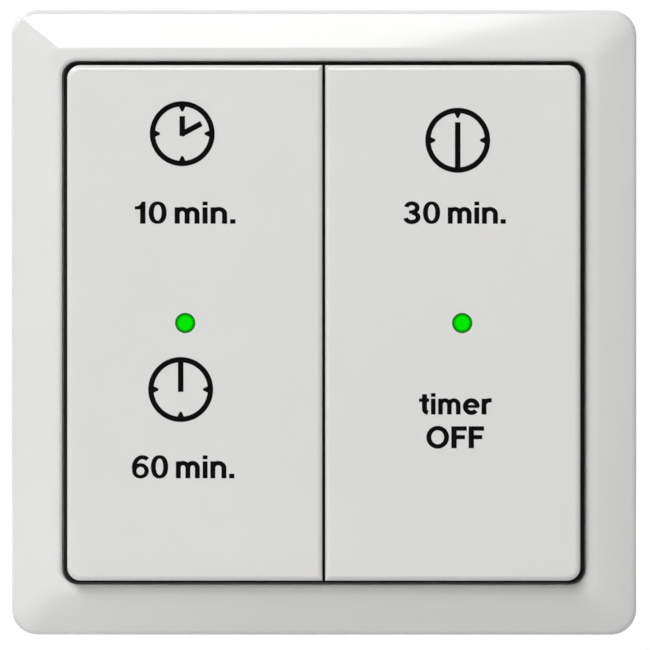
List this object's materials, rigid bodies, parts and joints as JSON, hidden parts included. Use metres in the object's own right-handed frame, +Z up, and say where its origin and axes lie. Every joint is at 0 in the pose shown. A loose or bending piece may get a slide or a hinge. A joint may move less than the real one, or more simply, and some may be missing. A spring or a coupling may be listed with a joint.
{
  "type": "wireless timer switch",
  "caption": "Square surface-mounted wireless wall switch with two side-by-side rockers, each with a light window, in a sloped cover frame.",
  "frame": {"origin": "centre of the wall plate's back face, in the wall plane, between its four slots", "axes": "+X right, +Z up, +Y into the wall, so the front faces -Y"},
  "size_m": [0.08, 0.015, 0.08],
  "materials": {
    "frame_white": "smooth gloss",
    "rocker_white": "smooth semi-gloss",
    "housing_grey": "fine matt",
    "plate_grey": "fine matt",
    "screw_steel": "zinc plated",
    "board_green": "solder mask",
    "gold_pads": "gold plated",
    "shield_metal": "tinned",
    "chip_black": "moulded",
    "crystal_metal": "bright",
    "small_parts": "ceramic",
    "antenna_metal": "drawn wire",
    "led_body": "clear resin",
    "guide_clear": "polished clear plastic",
    "lens_green": "lit green window",
    "cell_metal": "nickel plated",
    "holder_black": "moulded",
    "spring_metal": "nickel plated",
    "dome_rubber": "silicone",
    "pill_black": "carbon filled",
    "tappet_white": "acetal"
  },
  "bodies": {
    "switch_base": {"mounting_plate": "plate_grey", "cover_frame": "frame_white", "rear_housing": "housing_grey", "front_housing": "housing_grey", "housing_screws": "screw_steel", "circuit_board": "board_green", "contact_pads": "gold_pads", "radio_module_shield": "shield_metal", "microcontroller": "chip_black", "quartz_crystal": "crystal_metal", "board_components": "small_parts", "antenna_wire": "antenna_metal", "led_chip_left": "led_body", "led_chip_right": "led_body", "light_guide_left": "guide_clear", "light_guide_right": "guide_clear", "battery_cell": "cell_metal", "battery_holder": "holder_black", "battery_contact_positive": "spring_metal", "battery_contact_negative": "spring_metal", "key_dome_10_min": "dome_rubber", "key_dome_60_min": "dome_rubber", "key_dome_30_min": "dome_rubber", "key_dome_off": "dome_rubber"},
    "rocker_left": {"rocker_left": "rocker_white", "led_lens_left": "lens_green"},
    "rocker_right": {"rocker_right": "rocker_white", "led_lens_right": "lens_green"},
    "tappet_10_min": {"tappet_10_min": "tappet_white", "contact_pill_10_min": "pill_black"},
    "tappet_60_min": {"tappet_60_min": "tappet_white", "contact_pill_60_min": "pill_black"},
    "tappet_30_min": {"tappet_30_min": "tappet_white", "contact_pill_30_min": "pill_black"},
    "tappet_off": {"tappet_off": "tappet_white", "contact_pill_off": "pill_black"}
  },
  "joints": [
    {"name": "rocker_left_tilt", "type": "hinge", "parent": "switch_base", "child": "rocker_left", "pos_m": [-0.01649, -0.0121, 0], "axis": [1, 0, 0], "range_deg": [-2.8, 2.8], "stiffness_Nm_per_rad": 0.8},
    {"name": "rocker_right_tilt", "type": "hinge", "parent": "switch_base", "child": "rocker_right", "pos_m": [0.01649, -0.0121, 0], "axis": [1, 0, 0], "range_deg": [-2.8, 2.8], "stiffness_Nm_per_rad": 0.8},
    {"name": "tappet_10_min_slide", "type": "slide", "parent": "switch_base", "child": "tappet_10_min", "axis": [0, 1, 0], "range_m": [-0.00098, 0.00098], "deforming": ["key_dome_10_min"]},
    {"name": "tappet_60_min_slide", "type": "slide", "parent": "switch_base", "child": "tappet_60_min", "axis": [0, 1, 0], "range_m": [-0.00098, 0.00098], "deforming": ["key_dome_60_min"]},
    {"name": "tappet_30_min_slide", "type": "slide", "parent": "switch_base", "child": "tappet_30_min", "axis": [0, 1, 0], "range_m": [-0.00098, 0.00098], "deforming": ["key_dome_30_min"]},
    {"name": "tappet_off_slide", "type": "slide", "parent": "switch_base", "child": "tappet_off", "axis": [0, 1, 0], "range_m": [-0.00098, 0.00098], "deforming": ["key_dome_off"]}
  ],
  "couplings": [
    {"joint": "tappet_10_min_slide", "follows": "rocker_left_tilt", "m_per_rad": -0.02},
    {"joint": "tappet_60_min_slide", "follows": "rocker_left_tilt", "m_per_rad": 0.02},
    {"joint": "tappet_30_min_slide", "follows": "rocker_right_tilt", "m_per_rad": -0.02},
    {"joint": "tappet_off_slide", "follows": "rocker_right_tilt", "m_per_rad": 0.02}
  ]
}
